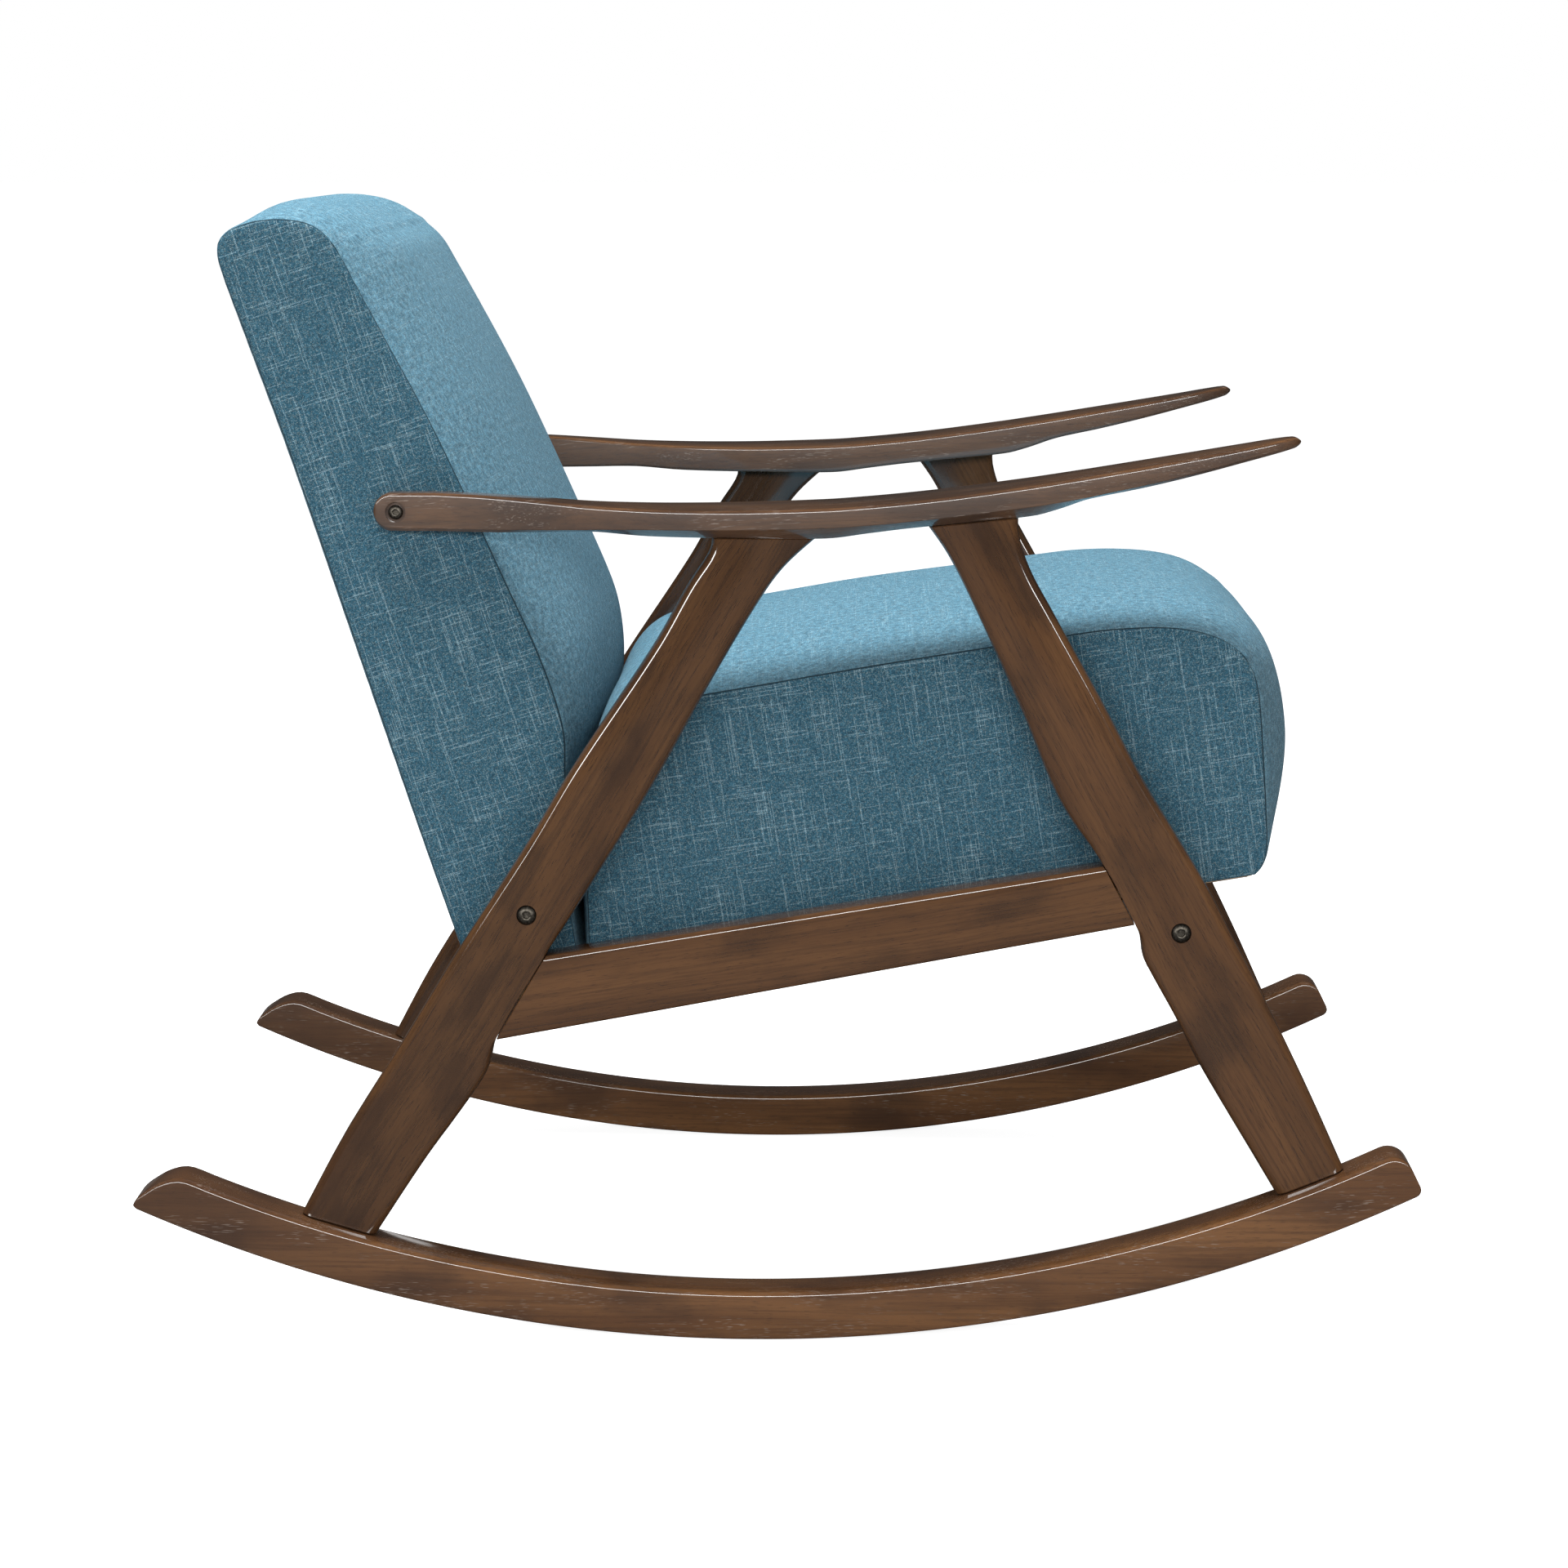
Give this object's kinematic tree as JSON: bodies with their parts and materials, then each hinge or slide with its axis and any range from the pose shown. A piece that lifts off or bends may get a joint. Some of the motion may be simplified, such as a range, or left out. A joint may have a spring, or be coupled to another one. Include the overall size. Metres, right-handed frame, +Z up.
{
  "type": "rocking chair",
  "caption": "Low upholstered rocking chair: stained wood A-frame sides on curved rockers, sweeping flat armrests, and a thick fabric seat and reclined back.",
  "frame": {"origin": "on the floor, under the centre of the whole chair", "axes": "+X is the chair's front, +Y the sitter's left, +Z up"},
  "size_m": [0.9993, 0.66, 0.8786],
  "materials": {
    "stained_wood": "satin",
    "frame_wood": "matte",
    "webbing": "matte",
    "black_lining": "matte",
    "blue_fabric": "matte",
    "dark_steel": "satin"
  },
  "bodies": {
    "root": {"rocker_right": "stained_wood", "rocker_left": "stained_wood", "rear_leg_right": "stained_wood", "rear_leg_left": "stained_wood", "front_leg_right": "stained_wood", "front_leg_left": "stained_wood", "armrest_right": "stained_wood", "armrest_left": "stained_wood", "side_rail_right": "stained_wood", "side_rail_left": "stained_wood", "front_cross_rail": "stained_wood", "rear_cross_rail": "stained_wood", "back_bottom_rail": "stained_wood", "seat_frame_front": "frame_wood", "seat_frame_rear": "frame_wood", "seat_frame_right": "frame_wood", "seat_frame_left": "frame_wood", "back_side_board_right": "frame_wood", "back_side_board_left": "frame_wood", "back_top_rail": "frame_wood", "back_board": "frame_wood", "seat_strap_1": "webbing", "seat_strap_2": "webbing", "seat_strap_3": "webbing", "seat_strap_4": "webbing", "back_strap_1": "webbing", "back_strap_2": "webbing", "back_strap_3": "webbing", "seat_dust_cover": "black_lining", "back_panel": "blue_fabric", "seat_cushion": "blue_fabric", "back_cushion": "blue_fabric", "rear_leg_bolt_right": "dark_steel", "rear_leg_bolt_left": "dark_steel", "front_leg_bolt_right": "dark_steel", "front_leg_bolt_left": "dark_steel", "arm_bolt_right": "dark_steel", "arm_bolt_left": "dark_steel", "rear_leg_insert_right": "dark_steel", "rear_leg_insert_left": "dark_steel", "front_leg_insert_right": "dark_steel", "front_leg_insert_left": "dark_steel", "arm_insert_right": "dark_steel", "arm_insert_left": "dark_steel", "rear_leg_rocker_dowel_right": "frame_wood", "rear_leg_rocker_dowel_left": "frame_wood", "rear_leg_arm_dowel_right": "frame_wood", "rear_leg_arm_dowel_left": "frame_wood", "front_leg_rocker_dowel_right": "frame_wood", "front_leg_rocker_dowel_left": "frame_wood", "front_leg_arm_dowel_right": "frame_wood", "front_leg_arm_dowel_left": "frame_wood", "side_rail_rear_dowel_right": "frame_wood", "side_rail_rear_dowel_left": "frame_wood", "side_rail_front_dowel_right": "frame_wood", "side_rail_front_dowel_left": "frame_wood", "seat_screw_front_right": "dark_steel", "seat_screw_front_left": "dark_steel", "seat_screw_rear_right": "dark_steel", "seat_screw_rear_left": "dark_steel"}
  },
  "joints": []
}
